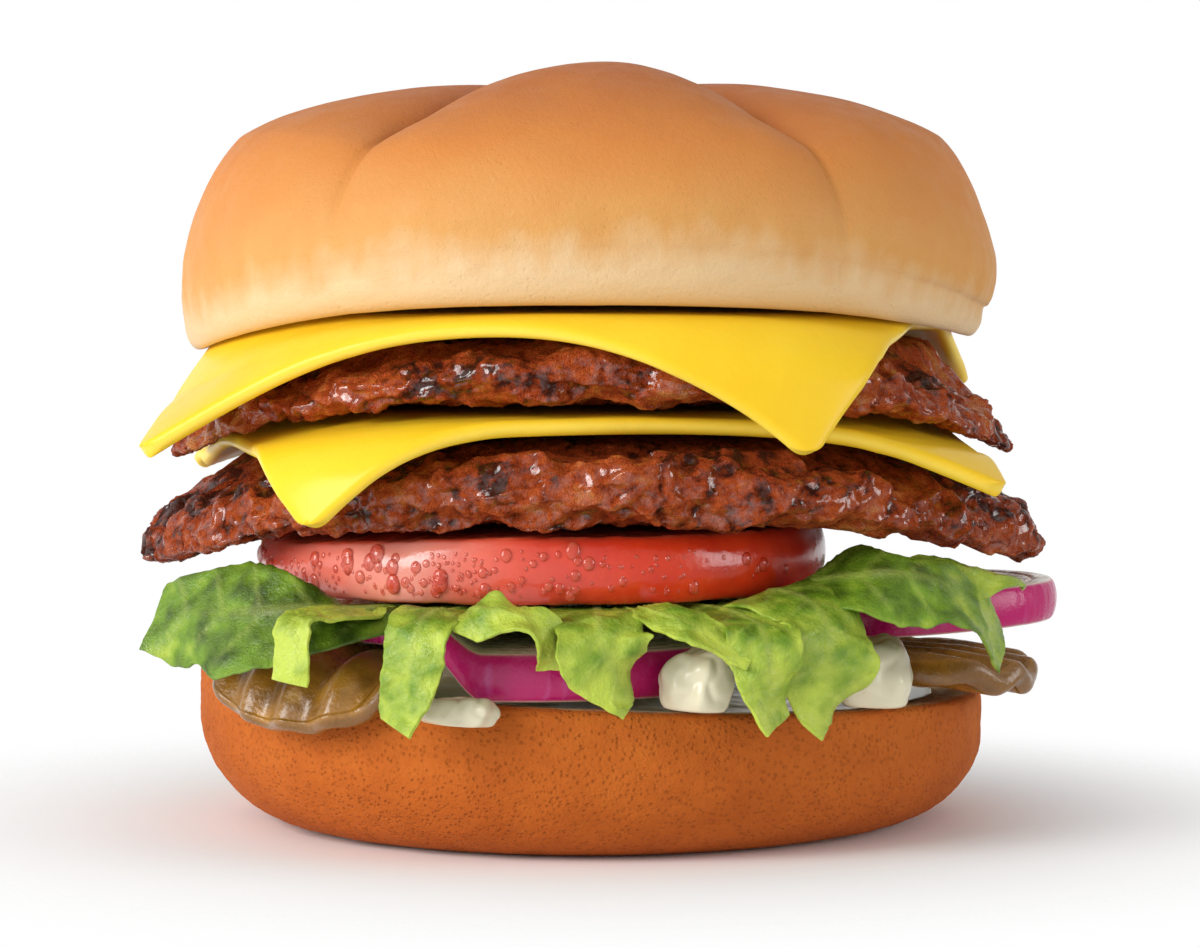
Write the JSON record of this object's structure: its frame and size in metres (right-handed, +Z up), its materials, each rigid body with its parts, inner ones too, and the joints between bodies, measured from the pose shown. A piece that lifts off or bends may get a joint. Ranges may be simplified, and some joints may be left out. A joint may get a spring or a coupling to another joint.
{
  "type": "double cheeseburger",
  "caption": "Tall round burger: lobed bun crown and heel around two patties, two draped cheese slices, tomato, lettuce, red onion, gherkin and mayonnaise.",
  "frame": {"origin": "centre of the heel's flat underside, on the surface the burger stands on", "axes": "+Z up through the stack, -Y towards the front that the picture shows, +X to the right as seen from there"},
  "size_m": [0.1179, 0.1205, 0.0967],
  "materials": {
    "crown": "baked crust, brown on top and pale at the rim, satin",
    "heel": "baked crust with fine pores, matt",
    "cheese": "smooth processed cheese, soft sheen",
    "patty": "grilled minced beef, rough with a greasy shine",
    "tomato": "wet skin",
    "lettuce": "waxy leaf",
    "onion": "glossy skin with pale flesh",
    "gherkin": "wet pickled skin",
    "mayonnaise": "creamy, soft sheen"
  },
  "bodies": {
    "root": {"crown": "crown", "cheese_upper": "cheese", "patty_upper": "patty", "cheese_lower": "cheese", "patty_lower": "patty", "tomato": "tomato", "lettuce": "lettuce", "onion_front": "onion", "onion_side": "onion", "gherkin_left": "gherkin", "gherkin_right": "gherkin", "mayonnaise_left": "mayonnaise", "mayonnaise_middle": "mayonnaise", "mayonnaise_right": "mayonnaise", "heel": "heel"}
  },
  "joints": []
}
